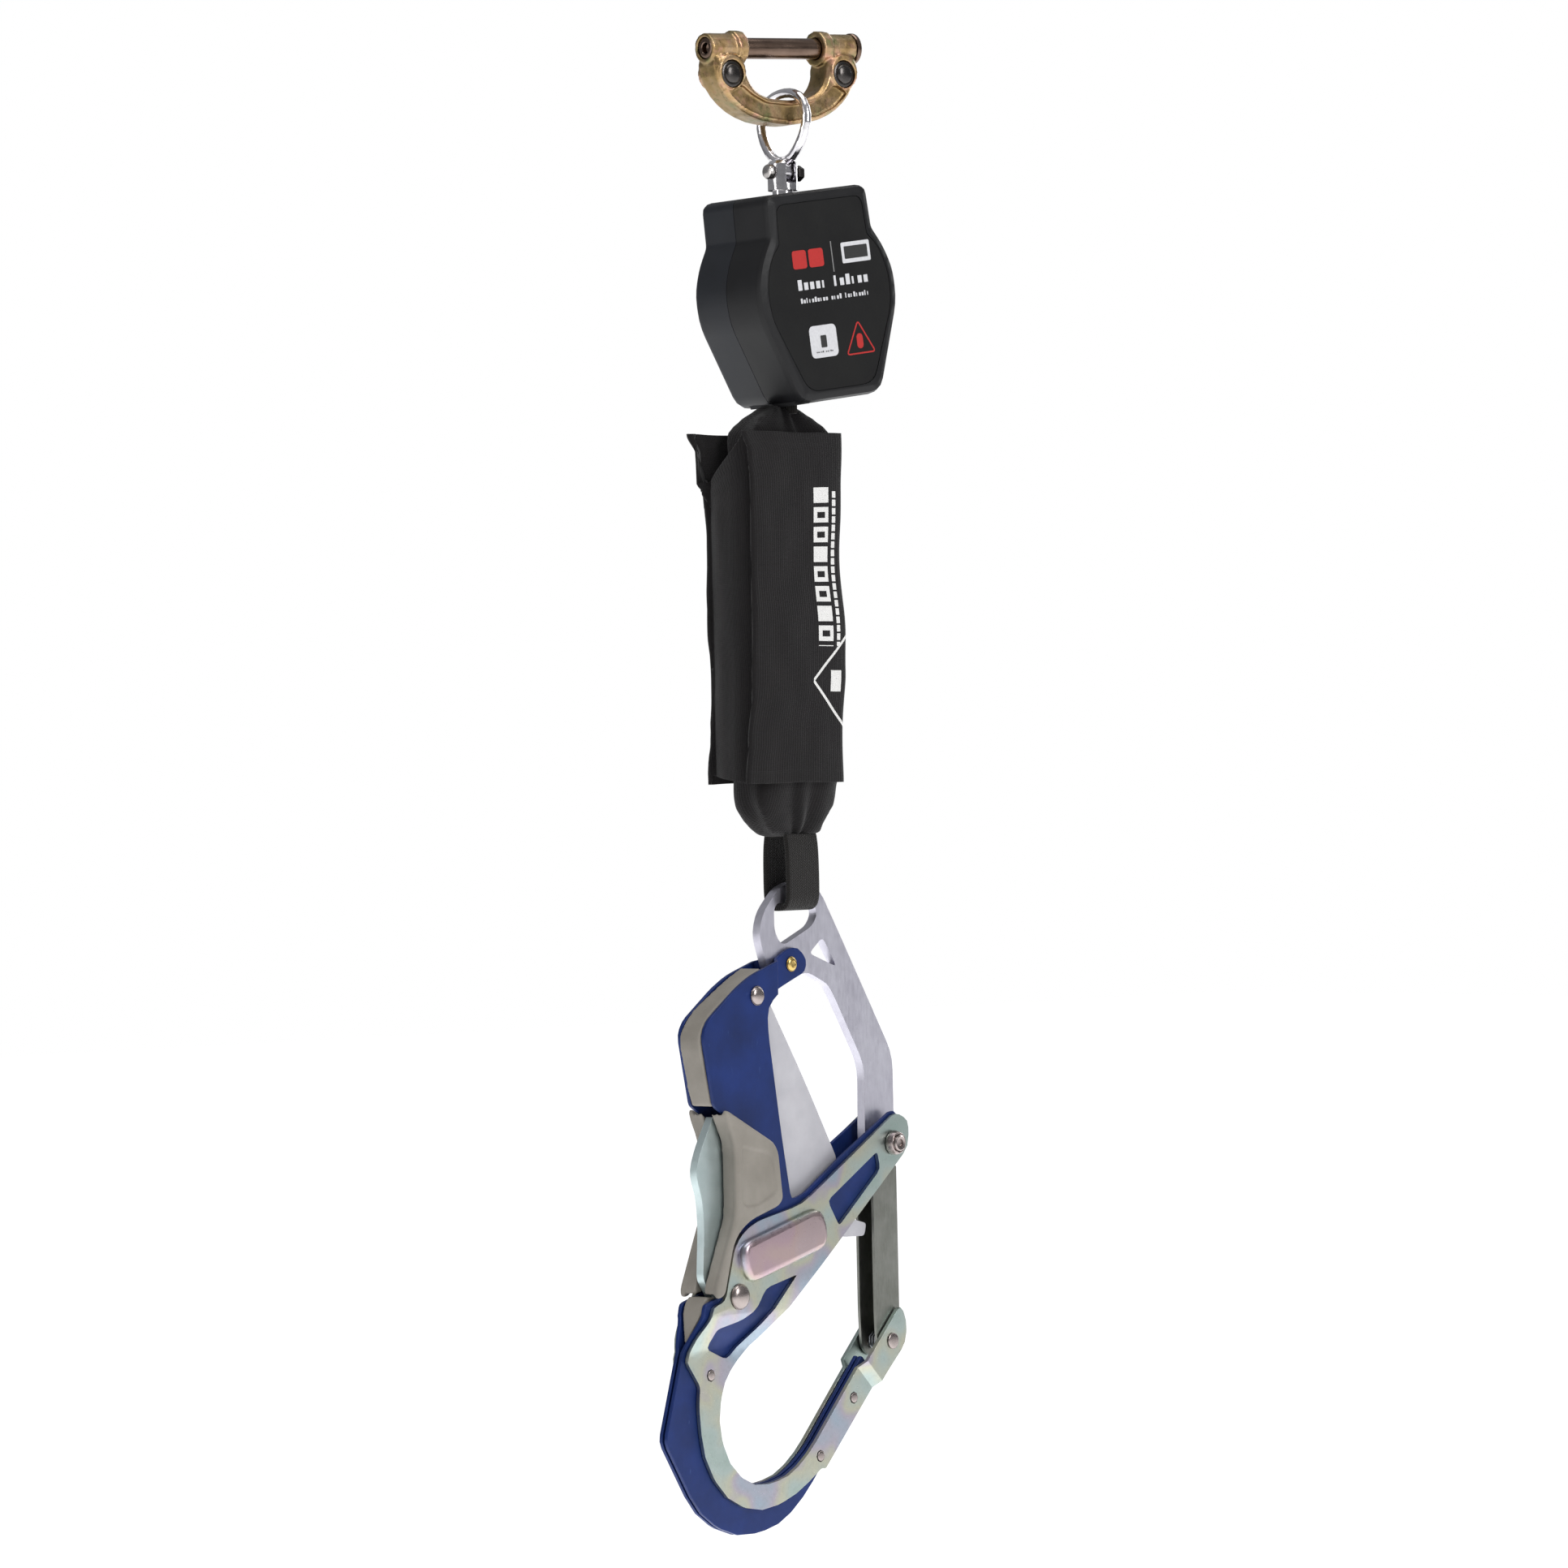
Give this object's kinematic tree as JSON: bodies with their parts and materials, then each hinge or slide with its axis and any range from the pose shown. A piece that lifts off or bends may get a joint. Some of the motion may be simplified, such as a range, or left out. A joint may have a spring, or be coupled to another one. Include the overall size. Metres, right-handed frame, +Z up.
{
  "type": "self retracting lifeline",
  "caption": "Compact personal self retracting lifeline with harness connector, swivel, drum housing, absorber pouch and large double action hook.",
  "frame": {"origin": "middle of the connector's pin, where the harness webbing lies", "axes": "+Z up along the hanging lifeline, +X along the pin to its head, -Y towards the labelled front"},
  "size_m": [0.1752, 0.052, 0.7377],
  "materials": {
    "yellow_zinc": "yellow zinc plated forging",
    "dark_pin": "dark polished pin",
    "dark_steel": "dark plated steel",
    "polished_steel": "polished stainless steel",
    "bright_steel": "bright machined steel",
    "bronze": "sintered bronze",
    "black_plastic": "fine textured moulding",
    "label_film": "printed film",
    "zinc_plate": "pale zinc plated sheet",
    "spring_steel": "bare spring wire",
    "black_web": "tight woven webbing",
    "black_fabric": "woven cloth",
    "stamped_steel": "plated thick plate",
    "blue_paint": "blue coated sheet",
    "grey_grip": "moulded grey plastic",
    "trigger_paint": "light grey powder coat",
    "gate_steel": "dark zinc plated channel",
    "rivet_steel": "polished rivet steel",
    "brass_rivet": "plain brass"
  },
  "bodies": {
    "connector": {"connector_frame": "yellow_zinc", "lock_cap_left": "dark_steel", "lock_cap_right": "dark_steel", "lock_spring_left": "spring_steel", "lock_spring_right": "spring_steel"},
    "pin": {"connector_pin": "dark_pin"},
    "button_left": {"lock_button_left": "dark_steel"},
    "button_right": {"lock_button_right": "dark_steel"},
    "eye": {"swivel_eye": "polished_steel"},
    "post": {"swivel_post": "polished_steel", "swivel_cross_pin": "bright_steel", "swivel_nut": "dark_steel"},
    "housing": {"housing_front_shell": "black_plastic", "housing_rear_shell": "black_plastic", "front_label": "label_film", "web_guide": "black_plastic", "frame_plate_front": "zinc_plate", "frame_plate_rear": "zinc_plate", "housing_screw_1": "dark_steel", "housing_screw_2": "dark_steel", "housing_screw_3": "dark_steel", "housing_screw_4": "dark_steel", "swivel_bushing": "bronze", "ratchet_ring": "dark_steel", "power_spring": "spring_steel", "spring_cup": "black_plastic", "web_run": "black_web", "lifeline_web": "black_web"},
    "drum": {"drum": "zinc_plate", "drum_shaft": "bright_steel", "wound_web": "black_web", "pawl_plate": "zinc_plate"},
    "pawl_a": {"pawl_1": "dark_steel"},
    "pawl_b": {"pawl_2": "dark_steel"},
    "absorber": {"absorber_pouch": "black_fabric", "absorber_pack": "black_web", "absorber_cover": "black_fabric", "web_loop": "black_web"},
    "hook": {"eye_plate": "stamped_steel", "blue_plate_front": "blue_paint", "blue_plate_rear": "blue_paint", "outer_plate_front": "zinc_plate", "outer_plate_rear": "zinc_plate", "grip_half_front": "grey_grip", "grip_half_rear": "grey_grip", "grip_spine": "grey_grip", "grip_tail": "grey_grip", "gate_spring": "spring_steel", "gate_pivot_rivet": "rivet_steel", "jaw_bolt": "rivet_steel", "jaw_nut": "rivet_steel", "trigger_rivet": "rivet_steel", "lever_rivet": "rivet_steel", "brass_rivet": "brass_rivet", "bowl_rivet_1": "rivet_steel", "bowl_rivet_2": "rivet_steel", "bowl_rivet_3": "rivet_steel"},
    "trigger": {"trigger": "trigger_paint"},
    "gate": {"gate": "gate_steel"},
    "palm_lever": {"palm_lever": "bright_steel"}
  },
  "joints": [
    {"name": "pin_slide", "type": "slide", "parent": "connector", "child": "pin", "axis": [0.9984, 0, 0.0558], "range_m": [0, 0.07]},
    {"name": "lock_button_left_press", "type": "slide", "parent": "connector", "child": "button_left", "axis": [0, 1, 0], "range_m": [0, 0.003], "stiffness_N_per_m": 900, "springref_m": -0.003},
    {"name": "lock_button_right_press", "type": "slide", "parent": "connector", "child": "button_right", "axis": [0, 1, 0], "range_m": [0, 0.003], "stiffness_N_per_m": 900, "springref_m": -0.003},
    {"name": "eye_swing", "type": "hinge", "parent": "connector", "child": "eye", "pos_m": [0.002, 0, -0.038], "axis": [1, 0, 0], "range_deg": [-60, 60]},
    {"name": "post_tilt", "type": "hinge", "parent": "eye", "child": "post", "pos_m": [0.002, 0, -0.061], "axis": [1, 0, 0], "range_deg": [-30, 30]},
    {"name": "swivel_turn", "type": "hinge", "parent": "post", "child": "housing", "pos_m": [0.002, 0, -0.0715], "axis": [0, 0, 1], "continuous": true},
    {"name": "payout", "type": "slide", "parent": "housing", "child": "absorber", "axis": [0, 0, -1], "range_m": [0, 1.3], "stiffness_N_per_m": 15, "springref_m": -2.2, "deforming": ["lifeline_web"]},
    {"name": "drum_spin", "type": "hinge", "parent": "housing", "child": "drum", "pos_m": [0.0091, 0, -0.122], "axis": [0, 1, 0], "continuous": true},
    {"name": "pawl_a_swing", "type": "hinge", "parent": "drum", "child": "pawl_a", "pos_m": [0.01751, 0, -0.11416], "axis": [0, 1, 0], "range_deg": [0, 8], "stiffness_Nm_per_rad": 0.02, "springref_deg": -28.65},
    {"name": "pawl_b_swing", "type": "hinge", "parent": "drum", "child": "pawl_b", "pos_m": [0.00069, 0, -0.12985], "axis": [0, 1, 0], "range_deg": [0, 8], "stiffness_Nm_per_rad": 0.02, "springref_deg": -28.65},
    {"name": "hook_swing", "type": "hinge", "parent": "absorber", "child": "hook", "pos_m": [0, 0, -0.4155], "axis": [0.9877, 0.1564, 0], "range_deg": [-35, 35]},
    {"name": "trigger_pull", "type": "hinge", "parent": "hook", "child": "trigger", "pos_m": [-0.03951, -0.00626, -0.4652], "axis": [-0.1564, 0.9877, 0], "range_deg": [0, 17], "stiffness_Nm_per_rad": 1.5, "springref_deg": -22.92},
    {"name": "gate_swing", "type": "hinge", "parent": "hook", "child": "gate", "pos_m": [0.056, 0.00887, -0.6413], "axis": [-0.1564, 0.9877, 0], "range_deg": [-47.6, 0], "stiffness_Nm_per_rad": 0.3, "springref_deg": 28.65},
    {"name": "palm_lever_squeeze", "type": "hinge", "parent": "hook", "child": "palm_lever", "pos_m": [-0.05936, -0.0094, -0.6101], "axis": [-0.1564, 0.9877, 0], "range_deg": [0, 5], "stiffness_Nm_per_rad": 2, "springref_deg": -11.46}
  ],
  "couplings": [
    {"joint": "drum_spin", "follows": "payout", "rad_per_m": -58.8},
    {"joint": "gate_swing", "follows": "trigger_pull", "ratio": -2.8}
  ]
}
